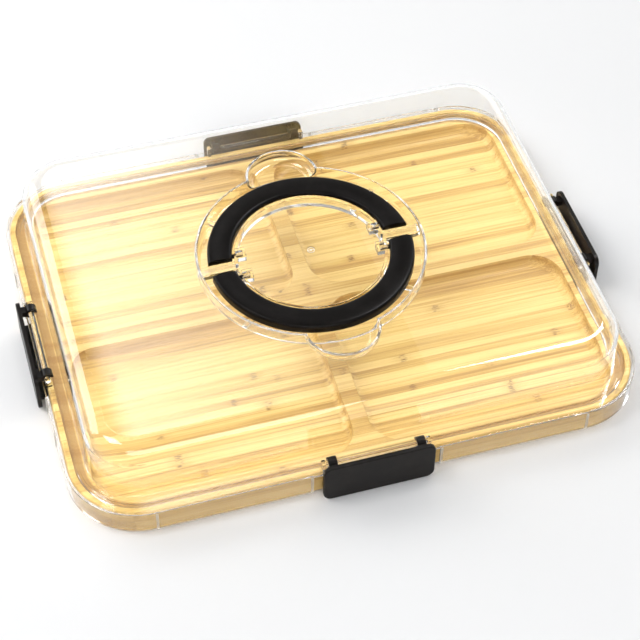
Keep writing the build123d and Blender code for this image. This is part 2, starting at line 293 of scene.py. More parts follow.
# -------- finishes
@dataclass(frozen=True)
class Bamboo:
    """Oiled bamboo laminated from narrow strips that run the long way."""

    name: str = "bamboo_strips"
    pale: Colour = (0.775, 0.555, 0.205)
    straw: Colour = (0.620, 0.395, 0.112)
    tan: Colour = (0.420, 0.232, 0.058)
    node_brown: Colour = (0.150, 0.060, 0.018)
    # colour of the painted shade in the lid's channel and on the compartments' upper walls
    recess_shade: Colour = (0.300, 0.150, 0.042)
    ply_seam: float = 14.2
    ply_shuffle: float = 71.0
    strip_width: float = 6.4
    strip_wander: float = 1.6
    node_pitch: float = 236.0
    roughness: float = 0.40
    specular: float = 0.35
    bump: float = 0.8
    half: tuple[float, float] = (197.2, 156.2)
    corner: float = 47.2
    top: float = 21.0

    def edge_distance(self, graph: Graph, axes: bpy.types.Node) -> bpy.types.NodeSocket:
        """Measure how far inside the board's outline a point lies, in millimetres.

        Args:
            graph: The material's graph.
            axes: The node that gives the point's coordinates.

        Returns:
            The distance's socket.
        """
        past = [
            graph.math("SUBTRACT", graph.math("ABSOLUTE", axes.outputs[axis]), half - self.corner)
            for axis, half in enumerate(self.half)
        ]
        out_x, out_y = (graph.math("MAXIMUM", value, 0.0) for value in past)
        squares = graph.total(graph.times(out_x, out_x), graph.times(out_y, out_y))
        inside = graph.math("MINIMUM", graph.math("MAXIMUM", *past), 0.0)
        reach = graph.total(graph.math("SQRT", squares), inside)
        return graph.math("SUBTRACT", self.corner, reach)

    def build(self, shared: SharedEffects) -> bpy.types.Material:
        """Make the material.

        Args:
            shared: The shared node groups.

        Returns:
            The finished material.
        """
        material, graph, shader = new_material(self.name)
        place = graph.stretch(graph.object_place(), (1 / MM, 1 / MM, 1 / MM))
        axes = graph.split(place)
        along, across, height = axes.outputs
        wander = graph.noise(graph.stretch(place, (0.006, 0.02, 0.02)), 1.0, 1.0)
        moved = graph.total(across, graph.times(wander, self.strip_wander))
        strips = graph.math("DIVIDE", moved, self.strip_width)
        ply = graph.step(height, self.ply_seam - 0.01, self.ply_seam + 0.01)
        index = graph.total(graph.math("FLOOR", strips), graph.times(ply, self.ply_shuffle))
        chance = graph.feed(graph.add("TexWhiteNoise", noise_dimensions="1D"), W=index)
        shades = graph.add("SeparateColor")
        graph.plug(chance.outputs["Color"], shades.inputs[0])
        tone, shift, extra = shades.outputs
        # each strip samples its own piece of culm
        offset = graph.add("CombineXYZ")
        graph.feed(offset, X=graph.times(shift, 900.0), Z=graph.times(extra, 300.0))
        own = graph.add("VectorMath", operation="ADD")
        graph.plug(place, own.inputs[0])
        graph.plug(offset.outputs[0], own.inputs[1])
        culm = own.outputs[0]

        def streaks(scale: Place, detail: float, roughness: float = 0.6) -> bpy.types.NodeSocket:
            """Noise drawn out along the strip."""
            return graph.noise(graph.stretch(culm, scale), 1.0, detail, roughness)

        broad = streaks((0.005, 0.45, 0.45), 2.0)
        fibre = streaks((0.014, 1.3, 1.0), 3.0)
        fine = streaks((0.06, 7.0, 7.0), 2.0)
        layers = ((tone, 0.26), (broad, 0.46), (fibre, 0.44), (fine, 0.14))
        mixed = graph.total(*(graph.times(layer, share) for layer, share in layers))
        lightness = graph.step(mixed, 0.36, 0.84)
        deep = graph.blend(graph.step(lightness, 0.0, 0.5), self.tan, self.straw)
        colour = graph.blend(graph.step(lightness, 0.45, 1.0), deep, self.pale)
        # short dark vessels in the strip
        vessels = graph.step(streaks((0.10, 3.6, 3.6), 1.0, 0.5), 0.64, 0.76)
        colour = graph.blend(graph.times(vessels, 0.42), colour, self.tan)
        # knuckles: a pair of dark strokes across a strip
        turns = graph.total(graph.math("DIVIDE", along, self.node_pitch), shift)
        reach = graph.math("SUBTRACT", graph.math("FRACT", turns), 0.5)
        reach = graph.times(graph.math("ABSOLUTE", reach), self.node_pitch)
        near = graph.total(reach, graph.times(streaks((0.35, 1.3, 1.3), 2.0), 4.0))
        dashes = graph.step(streaks((0.30, 1.5, 1.5), 1.0, 0.5), 0.44, 0.60)
        chosen = graph.step(extra, 0.40, 0.45)
        dark = graph.times(graph.step(near, 5.2, 3.2), dashes, chosen)
        halo = graph.times(graph.step(near, 13.0, 4.0), 0.26, chosen)
        colour = graph.blend(halo, colour, self.tan)
        colour = graph.blend(graph.times(dark, 0.75), colour, self.node_brown)
        # glue lines between strips and between plies
        from_edge = graph.times(graph.math("PINGPONG", graph.math("FRACT", strips), 0.5), self.strip_width)
        from_ply = graph.math("ABSOLUTE", graph.math("SUBTRACT", height, self.ply_seam))
        seam = graph.math("MAXIMUM", graph.step(from_edge, 0.20, 0.04), graph.step(from_ply, 0.32, 0.10))
        colour = graph.blend(graph.times(seam, 0.35), colour, self.tan)
        # end grain is denser and darker
        facing = graph.split(graph.add("TexCoord").outputs["Normal"])
        end_grain = graph.step(graph.math("ABSOLUTE", facing.outputs[0]), 0.55, 0.98)
        bundles = graph.add("TexVoronoi")
        graph.feed(bundles, Vector=graph.stretch(culm, (0.0, 1.5, 1.5)), Scale=1.0)
        dots = graph.times(graph.step(bundles.outputs["Distance"], 0.42, 0.18), end_grain)
        colour = graph.blend(graph.times(dots, 0.40), colour, self.tan)
        # painted shade: below the top, the lid's channel, the board's outer sides and the upper walls of the
        # compartments are darkened, standing for the shade in recesses and on faces turned from the light
        inset = self.edge_distance(graph, axes)
        sunk = graph.step(height, self.top - 0.5, self.top - 3.0)
        # painted shade in the lid's channel
        channel_shade = graph.times(sunk, graph.step(inset, 12.0, 10.0), graph.step(inset, 3.0, 4.2))
        colour = graph.blend(graph.times(channel_shade, 0.75), colour, self.recess_shade)
        # painted shade on the board's outer sides below the top
        side = graph.times(graph.step(inset, 0.9, 0.2), sunk)
        colour = graph.blend(graph.times(side, 0.42), colour, self.tan)
        # painted shade on the upper walls of the compartments
        wall = graph.times(sunk, graph.step(height, 9.0, 13.0), graph.step(inset, 13.0, 15.0))
        colour = graph.blend(graph.times(wall, 0.22), colour, self.recess_shade)
        graph.plug(colour, shader.inputs["Base Color"])
        marks = use_group(graph, shared.handling, Roughness=self.roughness, Smudge=0.10, Scratch=0.06)
        gloss = graph.total(marks.outputs["Roughness"], graph.times(fibre, 0.10))
        graph.plug(gloss, shader.inputs["Roughness"])
        depths = ((fibre, 0.035), (fine, 0.02), (seam, -0.03), (dark, -0.03))
        relief = graph.total(*(graph.times(layer, depth) for layer, depth in depths))
        raise_normal(graph, shader, graph.times(relief, MM), self.bump)
        shader.inputs["Specular IOR Level"].default_value = self.specular
        return material


@dataclass(frozen=True)
class ClearPlastic:
    """Clear moulded plastic with a faint waviness and a few handling marks."""

    name: str = "clear_moulding"
    tint: Colour = (0.985, 0.992, 0.992)
    roughness: float = 0.012
    index: float = 1.49
    wave_cells: float = 26.0
    wave_depth: float = 0.05
    shade: Colour = (0.985, 0.987, 0.987)

    def build(self, shared: SharedEffects) -> bpy.types.Material:
        """Make the material.

        Args:
            shared: The shared node groups.

        Returns:
            The finished material.
        """
        material, graph, shader = new_material(self.name)
        shader.inputs["Base Color"].default_value = opaque(self.tint)
        shader.inputs["Transmission Weight"].default_value = 1.0
        shader.inputs["IOR"].default_value = self.index
        marks = use_group(graph, shared.handling, Roughness=self.roughness, Smudge=0.02, Scratch=0.03)
        graph.plug(marks.outputs["Roughness"], shader.inputs["Roughness"])
        wave = graph.noise(graph.object_place(), self.wave_cells, 1.0)
        raise_normal(graph, shader, graph.times(wave, self.wave_depth * MM), 0.5)
        # light passes straight through, so the board under the lid isn't dark
        clear = graph.add("BsdfTransparent")
        graph.feed(clear, Color=opaque(self.shade))
        swap = graph.add("MixShader")
        graph.plug(graph.add("LightPath").outputs["Is Shadow Ray"], swap.inputs[0])
        graph.plug(shader.outputs[0], swap.inputs[1])
        graph.plug(clear.outputs[0], swap.inputs[2])
        out = graph.tree.nodes["Material Output"]
        graph.plug(swap.outputs[0], out.inputs["Surface"])
        return material


@dataclass(frozen=True)
class SatinPlastic:
    """Black moulded plastic with a fine grain and a soft sheen."""

    name: str
    base: Colour
    worn: Colour
    roughness: float = 0.30
    grain_size: float = 0.35
    grain_depth: float = 0.02
    specular: float = 0.18

    def build(self, shared: SharedEffects) -> bpy.types.Material:
        """Make the material.

        Args:
            shared: The shared node groups.

        Returns:
            The finished material.
        """
        material, graph, shader = new_material(self.name)
        grain = use_group(graph, shared.grain, Size=self.grain_size, Depth=self.grain_depth)
        marks = use_group(graph, shared.handling, Roughness=self.roughness, Smudge=0.10, Scratch=0.08)
        share = graph.step(graph.total(grain.outputs["Mottle"], marks.outputs["Marks"]), 0.4, 0.9)
        graph.plug(graph.blend(share, self.base, self.worn), shader.inputs["Base Color"])
        graph.plug(marks.outputs["Roughness"], shader.inputs["Roughness"])
        raise_normal(graph, shader, grain.outputs["Height"], 0.7)
        shader.inputs["Specular IOR Level"].default_value = self.specular
        return material


def new_material(name: str) -> tuple[bpy.types.Material, Graph, bpy.types.Node]:
    """Start a material with a Principled shader.

    Args:
        name: The material's name.

    Returns:
        The material, its graph and its shader node.
    """
    material = bpy.data.materials.new(name)
    material.use_nodes = True
    graph = Graph(material.node_tree)
    shader = graph.add("BsdfPrincipled")
    out = graph.add("OutputMaterial", name="Material Output")
    graph.plug(shader.outputs[0], out.inputs["Surface"])
    return material, graph, shader


def use_group(graph: Graph, group: bpy.types.NodeTree, **values: object) -> bpy.types.Node:
    """Place a shared group in a graph with its own values."""
    node = graph.add("Group", node_tree=group)
    return graph.feed(node, **values)


def raise_normal(graph: Graph, shader: bpy.types.Node, height: object, strength: float) -> None:
    """Feed a height in metres through a Bump node to a shader's normal."""
    bump = graph.add("Bump")
    graph.feed(bump, Height=height, Distance=1.0, Strength=strength)
    graph.plug(bump.outputs[0], shader.inputs["Normal"])


# -------- workbench
def clear_bench() -> None:
    """Leave edit mode and deselect everything."""
    if bpy.context.object and bpy.context.object.mode != "OBJECT":
        leave_edit()
    bpy.ops.object.select_all(action="DESELECT")


def leave_edit() -> None:
    """Go back to object mode."""
    bpy.ops.object.mode_set(mode="OBJECT")


def take_up(piece: bpy.types.Object) -> bpy.types.Object:
    """Select one piece alone and make it active."""
    clear_bench()
    piece.select_set(True)
    bpy.context.view_layer.objects.active = piece
    return piece


def settle(name: str) -> bpy.types.Object:
    """Name the new primitive and put its place into its mesh."""
    piece = bpy.context.object
    piece.name = piece.data.name = name
    bpy.ops.object.transform_apply(location=True, rotation=True, scale=True)
    return piece


def block(name: str, low: Place, high: Place) -> bpy.types.Object:
    """Start a piece from a block.

    Args:
        name: The piece's name.
        low: Its lowest corner, in millimetres.
        high: Its highest corner, in millimetres.

    Returns:
        The block.
    """
    clear_bench()
    size = tuple((b - a) * MM for a, b in zip(low, high))
    middle = tuple((a + b) / 2 * MM for a, b in zip(low, high))
    bpy.ops.mesh.primitive_cube_add(size=1.0, location=middle, scale=size)
    return settle(name)


def rod(
    name: str, radius: float, length: float, middle: Place, sides: int, lying: bool = False
) -> bpy.types.Object:
    """Start a piece from a rod.

    Args:
        name: The piece's name.
        radius: Its radius, in millimetres.
        length: Its length, in millimetres.
        middle: Its middle, in millimetres.
        sides: How many sides it has.
        lying: Whether it lies along X, not Z.

    Returns:
        The rod.
    """
    clear_bench()
    bpy.ops.mesh.primitive_cylinder_add(
        vertices=sides, radius=radius * MM, depth=length * MM,
        location=tuple(c * MM for c in middle), rotation=(0.0, math.pi / 2 if lying else 0.0, 0.0),
    )
    return settle(name)


def pick(piece: bpy.types.Object, kind: str, wanted: Callable[[object], bool]) -> int:
    """Go into edit mode with only some parts of a piece selected.

    Args:
        piece: The piece.
        kind: VERT, EDGE or FACE.
        wanted: Says of one vertex, edge or face whether it is selected.

    Returns:
        How many are selected.
    """
    take_up(piece)
    bpy.ops.object.mode_set(mode="EDIT")
    bpy.ops.mesh.select_mode(type=kind)
    bpy.ops.mesh.select_all(action="DESELECT")
    mesh = bmesh.from_edit_mesh(piece.data)
    parts = {"VERT": mesh.verts, "EDGE": mesh.edges, "FACE": mesh.faces}[kind]
    chosen = [part for part in parts if wanted(part)]
    for part in chosen:
        part.select_set(True)
    mesh.select_flush_mode()
    bmesh.update_edit_mesh(piece.data)
    return len(chosen)


def round_edges(
    piece: bpy.types.Object, wanted: Callable[[object], bool], radius: float, segments: int = 4
) -> None:
    """Round the edges of a piece that pass a test.

    Args:
        piece: The piece.
        wanted: Says of one edge whether it is rounded.
        radius: The round's radius, in millimetres.
        segments: How many facets the round has.
    """
    if pick(piece, "EDGE", wanted):
        bpy.ops.mesh.bevel(offset=radius * MM, segments=segments, affect="EDGES")
    leave_edit()


def level(part: object, height: float, axis: int = 2) -> bool:
    """Say whether all of a part's vertices lie at one height, in millimetres, or so along an axis."""
    return all(abs(v.co[axis] - height * MM) < SLACK for v in part.verts)


def runs_along(edge: object, axis: int) -> bool:
    """Say whether an edge runs along one axis."""
    way = edge.verts[1].co - edge.verts[0].co
    return way.length > 0 and abs(way[axis]) > 0.999 * way.length


def combine(piece: bpy.types.Object, other: bpy.types.Object, operation: str) -> None:
    """Unite a piece with another, or cut the other from it, and remove the other.

    Args:
        piece: The piece that is kept.
        other: The piece that is used up.
        operation: UNION or DIFFERENCE.
    """
    take_up(piece)
    tool = piece.modifiers.new("combine", "BOOLEAN")
    tool.operation = operation
    tool.solver = "EXACT"
    tool.object = other
    bpy.ops.object.modifier_apply(modifier=tool.name)
    bpy.data.objects.remove(other, do_unlink=True)


def merge_points(piece: bpy.types.Object) -> None:
    """Merge doubled points, drop slivers and turn the faces outwards."""
    pick(piece, "VERT", lambda part: True)
    bpy.ops.mesh.remove_doubles(threshold=DOUBLE)
    bpy.ops.mesh.dissolve_degenerate(threshold=DOUBLE)
    bpy.ops.mesh.select_all(action="SELECT")
    bpy.ops.mesh.normals_make_consistent(inside=False)
    leave_edit()


def soften(piece: bpy.types.Object, width: float, angle: float = 32.0) -> None:
    """Break every remaining sharp edge and shade the piece smoothly.

    Args:
        piece: The piece.
        width: The bevel's width, in millimetres.
        angle: The least angle of a sharp edge, in degrees.
    """
    take_up(piece)
    bevel = piece.modifiers.new("soft_edges", "BEVEL")
    bevel.width = width * MM
    bevel.segments = 2
    bevel.limit_method = "ANGLE"
    bevel.angle_limit = math.radians(angle)
    bpy.ops.object.modifier_apply(modifier=bevel.name)
    bpy.ops.object.shade_smooth_by_angle(angle=math.radians(40.0))
    weight = piece.modifiers.new("flat_faces", "WEIGHTED_NORMAL")
    weight.keep_sharp = True
    bpy.ops.object.modifier_apply(modifier=weight.name)


def copy_of(piece: bpy.types.Object, name: str, move: Matrix) -> bpy.types.Object:
    """Copy a piece with its own mesh, moved.

    Args:
        piece: The piece.
        name: The copy's name.
        move: Where the copy goes.

    Returns:
        The copy.
    """
    made = piece.copy()
    made.data = piece.data.copy()
    made.name = made.data.name = name
    made.data.transform(move)
    bpy.context.scene.collection.objects.link(made)
    return made


def join_frame(
    piece: bpy.types.Object, body: str, node: str | None, slot: Slot, material: bpy.types.Material
) -> None:
    """Dress a piece, ride it on its body and let it stand for its node, if it has one."""
    piece.data.materials.clear()
    piece.data.materials.append(material)
    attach(piece, body)
    if node:
        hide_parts(node)
    LOG.info("%s rides on %s with %d faces", piece.name, body, len(piece.data.polygons))


def turned(turn: float, x: float = 0.0, y: float = 0.0) -> Matrix:
    """Move by millimetres along X and Y, then turn about Z by degrees."""
    return Matrix.Rotation(math.radians(turn), 4, "Z") @ Matrix.Translation((x * MM, y * MM, 0.0))


# -------- clips
@dataclass
class Clips:
    """The four side clips, modelled once at the lid's outline and copied.

    While it is modelled, y is 0 at the lid's outline and negative outwards.
    """

    length: float = 77.0
    low: float = 1.0
    high: float = 33.5
    inner: float = -2.6
    outer: float = -5.6
    corner: float = 6.0
    edge_round: float = 0.9
    hinge_y: float = 4.0
    hinge_z: float = 28.0
    bore: float = 2.05
    ring: float = 4.2
    mouth: float = 3.0
    hook_width: float = 6.0
    hook_centre: float = 30.5
    hook_steps: int = 40
    arm_low: float = 26.0
    arm_high: float = 30.2
    ridge_length: float = 68.0
    ridge_tip: float = 2.5
    ridge_low: float = 7.4
    ridge_high: float = 9.8
    rim_width: float = 1.7
    rim_depth: float = 0.35

    def plate(self) -> bpy.types.Object:
        """Make the plate with rounded corners and a rounded outer edge.

        Returns:
            The plate.
        """
        half = self.length / 2
        plate = block("clip", (-half, self.outer, self.low), (half, self.inner, self.high))
        round_edges(plate, lambda edge: runs_along(edge, 1), self.corner, 10)
        round_edges(plate, lambda edge: level(edge, self.outer, 1), self.edge_round, 4)
        return plate

    def hollow_back(self, plate: bpy.types.Object) -> None:
        """Sink the plate's inner face a little inside a narrow rim."""
        pick(plate, "FACE", lambda face: level(face, self.inner, 1))
        bpy.ops.mesh.inset(thickness=self.rim_width * MM)
        bpy.ops.mesh.extrude_region_move(TRANSFORM_OT_translate={"value": (0.0, -self.rim_depth * MM, 0.0)})
        leave_edit()

    def hook(self, x: float) -> bpy.types.Object:
        """Spin an open hook round the hinge bar and add its arm.

        Args:
            x: The hook's middle.

        Returns:
            The hook.
        """
        half = self.hook_width / 2
        gap = math.asin(self.mouth / 2 / self.bore)
        start = -math.pi / 4 + gap
        turn = 2 * math.pi - 2 * gap
        hinge = Vector((0.0, self.hinge_y * MM, self.hinge_z * MM))
        clear_bench()
        bpy.ops.mesh.primitive_plane_add(size=1.0, location=(0.0, 0.0, 0.0))
        hook = settle("hook")
        corners = ((-half, self.bore), (half, self.bore), (half, self.ring), (-half, self.ring))
        for vertex, (side, radius) in zip((hook.data.vertices[i] for i in (0, 1, 3, 2)), corners):
            vertex.co = (
                (x + side) * MM,
                hinge.y + radius * MM * math.cos(start),
                hinge.z + radius * MM * math.sin(start),
            )
        pick(hook, "FACE", lambda face: True)
        bpy.ops.mesh.spin(steps=self.hook_steps, angle=turn, center=hinge, axis=(-1.0, 0.0, 0.0))
        leave_edit()
        merge_points(hook)
        reach = self.hinge_y - (self.ring + self.bore) / 2
        root = (self.inner + self.outer) / 2
        arm = block("arm", (x - half, root, self.arm_low), (x + half, reach, self.arm_high))
        combine(hook, arm, "UNION")
        return hook

    def ridge(self) -> bpy.types.Object:
        """Make the catch ridge with a lead-in on its lower edge.

        Returns:
            The ridge.
        """
        half = self.ridge_length / 2
        middle = (self.inner + self.outer) / 2
        ridge = block("ridge", (-half, middle, self.ridge_low), (half, self.ridge_tip, self.ridge_high))
        round_edges(
            ridge,
            lambda edge: level(edge, self.ridge_tip, 1) and level(edge, self.ridge_low),
            (self.ridge_high - self.ridge_low) / 2,
            1,
        )
        return ridge

    def build(self, material: bpy.types.Material) -> None:
        """Model one clip and put a copy on each side.

        Args:
            material: The clips' finish.
        """
        model = self.plate()
        self.hollow_back(model)
        for sign in (-1.0, 1.0):
            combine(model, self.hook(sign * self.hook_centre), "UNION")
        combine(model, self.ridge(), "UNION")
        merge_points(model)
        soften(model, 0.22)
        for side, turn, reach in SIDES:
            clip = copy_of(model, f"{side}_clip_body", turned(turn, 0.0, -reach))
            join_frame(clip, f"{side}_clip", f"{side}_clip", Slot.BLACK, material)
        bpy.data.objects.remove(model, do_unlink=True)


# -------- handles
@dataclass
class Handles:
    """The two half-ring handles, cored from below, each with two pivot pins."""

    inner: float = 55.3
    outer: float = 72.5
    low: float = 59.5
    high: float = 66.5
    end: float = 6.3
    wall: float = 2.2
    edge_round: float = 2.0
    crown: float = 0.9
    crown_cuts: int = 11
    rib: float = 1.6
    rib_angles: tuple[float, ...] = (50.0, 90.0, 130.0)
    pin_radius: float = 1.6
    pin_y: float = 10.3
    pin_z: float = 62.5
    pin_tip: float = 47.03
    pin_root: float = 55.87
    steps: int = 96

    def swept(
        self,
        name: str,
        section: tuple[Place, Place],
        sweep: tuple[float, float],
        top_round: float,
        crown: float = 0.0,
    ) -> bpy.types.Object:
        """Sweep an upright rectangle round the Z axis.

        Args:
            name: The piece's name.
            section: Two opposite corners, as radius, 0 and height.
            sweep: Start and end angles, in degrees.
            top_round: Round on the two upper edges.
            crown: How far the top falls from its middle to its edges.

        Returns:
            The swept piece.
        """
        (r0, _, z0), (r1, _, z1) = section
        clear_bench()
        bpy.ops.mesh.primitive_plane_add(size=1.0, location=(0.0, 0.0, 0.0))
        piece = settle(name)
        corners = ((r0, z0), (r1, z0), (r1, z1), (r0, z1))
        for vertex, (radius, height) in zip((piece.data.vertices[i] for i in (0, 1, 3, 2)), corners):
            vertex.co = (radius * MM, 0.0, height * MM)
        pick(piece, "VERT", lambda v: v.co.z > (z0 + z1) / 2 * MM)
        bpy.ops.mesh.bevel(offset=top_round * MM, segments=6, affect="VERTICES")
        if crown:
            pick(piece, "EDGE", lambda edge: level(edge, z1))
            bpy.ops.mesh.subdivide(number_cuts=self.crown_cuts)
            leave_edit()
            middle, half = (r0 + r1) / 2, (r1 - r0) / 2
            for vertex in piece.data.vertices:
                if vertex.co.z > z0 * MM + SLACK:
                    share = (vertex.co.x / MM - middle) / half
                    vertex.co.z -= crown * share * share * MM
        leave_edit()
        start, stop = (math.radians(a) for a in sweep)
        piece.data.transform(Matrix.Rotation(start, 4, "Z"))
        pick(piece, "FACE", lambda face: True)
        steps = max(4, round(self.steps * (stop - start) / math.pi))
        bpy.ops.mesh.spin(steps=steps, angle=stop - start, center=(0.0, 0.0, 0.0), axis=(0.0, 0.0, -1.0))
        leave_edit()
        merge_points(piece)
        return piece

    def trim(self, piece: bpy.types.Object, y: float) -> None:
        """Cut a piece straight across and close the cut."""
        pick(piece, "FACE", lambda face: True)
        at, way = (0.0, y * MM, 0.0), (0.0, 1.0, 0.0)
        bpy.ops.mesh.bisect(plane_co=at, plane_no=way, use_fill=True, clear_inner=True)
        leave_edit()

    def build(self, material: bpy.types.Material) -> None:
        """Model the rear handle and turn a copy round for the front.

        Args:
            material: The handles' finish.
        """
        solid = ((self.inner, 0.0, self.low), (self.outer, 0.0, self.high))
        handle = self.swept("handle", solid, (0.0, 180.0), self.edge_round, self.crown)
        self.trim(handle, self.end)
        core = (
            (self.inner + self.wall, 0.0, self.low - 2.0),
            (self.outer - self.wall, 0.0, self.high - self.wall),
        )
        half_rib = math.degrees(self.rib / 2 / ((self.inner + self.outer) / 2))
        stops = (0.0, *self.rib_angles, 180.0)
        for start, stop in zip(stops, stops[1:]):
            sweep = (start + half_rib if start else 0.0, stop - half_rib if stop < 180.0 else 180.0)
            cutter = self.swept("core", core, sweep, 0.8)
            if start == 0.0 or stop == 180.0:
                self.trim(cutter, self.end + self.wall)
            combine(handle, cutter, "DIFFERENCE")
        for sign in (-1.0, 1.0):
            middle = sign * (self.pin_root + self.pin_tip) / 2
            length = self.pin_root - self.pin_tip
            pin = rod("pin", self.pin_radius, length, (middle, self.pin_y, self.pin_z), 32, lying=True)
            combine(handle, pin, "UNION")
        merge_points(handle)
        soften(handle, 0.25)
        for name, turn in (("rear_handle", 0.0), ("front_handle", 180.0)):
            join_frame(copy_of(handle, f"{name}_grip", turned(turn)), name, name, Slot.BLACK, material)
        bpy.data.objects.remove(handle, do_unlink=True)


# -------- feet
@dataclass
class Feet:
    """Four soft feet with a rounded edge and a shallow cup below."""

    radius: float = 8.0
    height: float = 3.5
    edge_round: float = 0.8
    cup: float = 1.8
    cup_depth: float = 0.35
    x: float = 155.0
    y: float = 114.0

    def build(self, material: bpy.types.Material) -> None:
        """Model one foot and put a copy in each recess.

        Args:
            material: The feet's finish.
        """
        foot = rod("foot", self.radius, self.height, (0.0, 0.0, self.height / 2), 64)
        round_edges(foot, lambda edge: level(edge, 0.0), self.edge_round, 5)
        pick(foot, "FACE", lambda face: level(face, 0.0))
        bpy.ops.mesh.inset(thickness=self.cup * MM)
        bpy.ops.mesh.inset(thickness=self.cup_depth * MM)
        bpy.ops.transform.translate(value=(0.0, 0.0, self.cup_depth * MM))
        leave_edit()
        soften(foot, 0.15)
        for y_name, y_sign in (("front", -1), ("rear", 1)):
            for x_name, x_sign in (("left", -1), ("right", 1)):
                name = f"foot_{y_name}_{x_name}"
                pad = copy_of(foot, f"{name}_pad", turned(0.0, x_sign * self.x, y_sign * self.y))
                join_frame(pad, "base", name, Slot.RUBBER, material)
        bpy.data.objects.remove(foot, do_unlink=True)


# -------- skirt ribs
@dataclass
class SkirtRibs:
    """Frosted caps on the small upright ribs of the lid's skirt."""

    width: float = 1.7
    proud: float = 0.62
    sunk: float = 0.25
    low: float = 6.2
    high: float = 21.6
    beside_clip: float = 44.8
    long_side: float = 149.0
    short_side: float = 75.0

    def build(self, material: bpy.types.Material) -> None:
        """Model one cap, copy it to every rib and join the copies.

        Args:
            material: The caps' finish.
        """
        half = self.width / 2
        cap = block("cap", (-half, -self.proud, self.low), (half, self.sunk, self.high))
        round_edges(cap, lambda edge: max(v.co.y for v in edge.verts) < 0.0, 0.5, 4)
        soften(cap, 0.05)
        copies = []
        for side, turn, reach in SIDES:
            outer = self.long_side if side in ("front", "rear") else self.short_side
            for x in (-outer, -self.beside_clip, self.beside_clip, outer):
                copies.append(copy_of(cap, f"rib_{side}_{x:.0f}", turned(turn, x, -reach)))
        bpy.data.objects.remove(cap, do_unlink=True)
        clear_bench()
        for piece in copies:
            piece.select_set(True)
        bpy.context.view_layer.objects.active = copies[0]
        bpy.ops.object.join()
        ribs = bpy.context.object
        ribs.name = ribs.data.name = "skirt_rib_caps"
        join_frame(ribs, "lid", None, Slot.CLEAR, material)


# -------- gate mark
@dataclass
class GateMark:
    """Small frosted ring and pip that the mould leaves in the centre disc."""

    ring_radius: float = 2.35
    ring_tube: float = 0.22
    pip_radius: float = 0.8
    floor: float = 64.1
    pip_height: float = 0.25
    bridge_width: float = 0.3
    bridge_height: float = 0.12

    def build(self, material: bpy.types.Material) -> None:
        """Model the ring and pip in the lid's dimple.

        Args:
            material: The frosted finish.
        """
        clear_bench()
        bpy.ops.mesh.primitive_torus_add(
            major_radius=self.ring_radius * MM, minor_radius=self.ring_tube * MM,
            major_segments=48, minor_segments=10, location=(0.0, 0.0, self.floor * MM),
        )
        mark = settle("gate_mark")
        pip = rod("pip", self.pip_radius, self.pip_height, (0.0, 0.0, self.floor + self.pip_height / 2), 32)
        round_edges(pip, lambda edge: level(edge, self.floor + self.pip_height), 0.1, 3)
        half, top = self.bridge_width / 2, self.floor + self.bridge_height
        bridge = block("bridge", (-self.ring_radius, -half, self.floor), (self.ring_radius, half, top))
        combine(mark, bridge, "UNION")
        combine(mark, pip, "UNION")
        merge_points(mark)
        soften(mark, 0.03)
        join_frame(mark, "lid", None, Slot.CLEAR, material)


